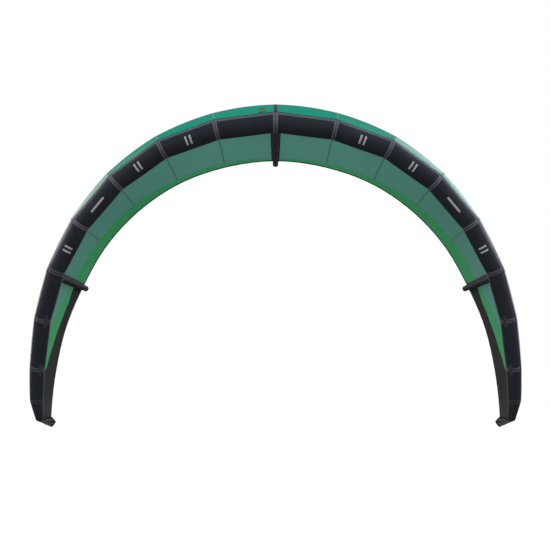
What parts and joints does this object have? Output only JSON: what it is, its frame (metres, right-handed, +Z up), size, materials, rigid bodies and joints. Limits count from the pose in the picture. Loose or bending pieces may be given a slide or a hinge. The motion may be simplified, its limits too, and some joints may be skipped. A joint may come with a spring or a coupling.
{
  "type": "kitesurfing kite",
  "caption": "Arc-shaped inflatable traction kite: segmented air-filled front tube, air-filled struts, green ripstop canopy with dark tips, inflation valve, hoses and pinch clips.",
  "frame": {"origin": "on the axis of the leading edge tube at the centre seam, the mount leading_edge_centre", "axes": "+X along the span to the kite's right as seen in the picture, +Y from the leading edge to the trailing edge, +Z up"},
  "size_m": [3.9552, 1.7102, 2.565],
  "materials": {
    "black_dacron": "woven polyester, satin",
    "charcoal_dacron": "woven polyester, matte",
    "strut_dacron": "woven polyester, satin",
    "green_ripstop": "ripstop weave, semi-gloss coating",
    "dark_ripstop": "ripstop weave, matte",
    "clear_urethane": "milky translucent film",
    "black_webbing": "folded webbing, matte",
    "grey_hose": "smooth flexible tube",
    "black_plastic": "moulded, satin",
    "grey_plastic": "moulded, satin",
    "strap_webbing": "woven webbing, matte",
    "white_cord": "braided cord"
  },
  "bodies": {
    "kite": {"leading_edge_panel_left_1": "black_dacron", "leading_edge_panel_left_2": "black_dacron", "leading_edge_panel_left_3": "black_dacron", "leading_edge_panel_left_4": "black_dacron", "leading_edge_panel_left_5": "black_dacron", "leading_edge_panel_left_6": "black_dacron", "leading_edge_panel_left_7": "black_dacron", "leading_edge_panel_left_8": "black_dacron", "leading_edge_tip_left": "charcoal_dacron", "canopy_panel_left_1": "green_ripstop", "canopy_panel_left_2": "green_ripstop", "canopy_panel_left_3": "green_ripstop", "canopy_panel_left_4": "green_ripstop", "canopy_panel_left_5": "green_ripstop", "canopy_wedge_left": "green_ripstop", "tip_panel_left": "dark_ripstop", "bridle_strap_left_6": "strap_webbing", "bridle_strap_left_7": "strap_webbing", "rear_pigtail_left": "white_cord", "leading_edge_panel_right_1": "black_dacron", "leading_edge_panel_right_2": "black_dacron", "leading_edge_panel_right_3": "black_dacron", "leading_edge_panel_right_4": "black_dacron", "leading_edge_panel_right_5": "black_dacron", "leading_edge_panel_right_6": "black_dacron", "leading_edge_panel_right_7": "black_dacron", "leading_edge_panel_right_8": "black_dacron", "leading_edge_tip_right": "charcoal_dacron", "canopy_panel_right_1": "green_ripstop", "canopy_panel_right_2": "green_ripstop", "canopy_panel_right_3": "green_ripstop", "canopy_panel_right_4": "green_ripstop", "canopy_panel_right_5": "green_ripstop", "canopy_wedge_right": "green_ripstop", "tip_panel_right": "dark_ripstop", "bridle_strap_right_6": "strap_webbing", "bridle_strap_right_7": "strap_webbing", "rear_pigtail_right": "white_cord", "leading_edge_bladder": "clear_urethane", "strut_sleeve_centre": "strut_dacron", "strut_bladder_centre": "clear_urethane", "strut_cap_centre": "black_webbing", "hose_centre": "grey_hose", "hose_clip_base_centre": "black_plastic", "strut_sleeve_left": "strut_dacron", "strut_bladder_left": "clear_urethane", "strut_cap_left": "black_webbing", "hose_left": "grey_hose", "hose_clip_base_left": "black_plastic", "strut_sleeve_right": "strut_dacron", "strut_bladder_right": "clear_urethane", "strut_cap_right": "black_webbing", "hose_right": "grey_hose", "hose_clip_base_right": "black_plastic", "valve_collar": "black_plastic"},
    "clip_lever_centre": {"hose_clip_lever_centre": "grey_plastic"},
    "clip_lever_left": {"hose_clip_lever_left": "grey_plastic"},
    "clip_lever_right": {"hose_clip_lever_right": "grey_plastic"},
    "valve_insert": {"valve_insert": "grey_plastic"},
    "valve_cap": {"valve_cap": "black_plastic"}
  },
  "joints": [
    {"name": "clip_lever_centre_hinge", "type": "hinge", "parent": "kite", "child": "clip_lever_centre", "pos_m": [0.07042, 0.16401, 0.03075], "axis": [-0.0986, -0.9171, -0.3864], "range_deg": [0, 75]},
    {"name": "clip_lever_left_hinge", "type": "hinge", "parent": "kite", "child": "clip_lever_left", "pos_m": [-1.74745, 0.49649, -1.1547], "axis": [-0.0899, 0.9847, -0.1489], "range_deg": [0, 75]},
    {"name": "clip_lever_right_hinge", "type": "hinge", "parent": "kite", "child": "clip_lever_right", "pos_m": [1.74745, 0.49649, -1.1547], "axis": [-0.0899, -0.9847, 0.1489], "range_deg": [0, 75]},
    {"name": "valve_insert_turn", "type": "hinge", "parent": "kite", "child": "valve_insert", "pos_m": [-0.15752, 0.07993, -0.00373], "axis": [0.0287, 0.9796, 0.1988], "range_deg": [0, 90]},
    {"name": "valve_cap_hinge", "type": "hinge", "parent": "valve_insert", "child": "valve_cap", "pos_m": [-0.18245, 0.0938, -0.00411], "axis": [-0.1228, -0.1939, 0.9733], "range_deg": [0, 150]}
  ]
}
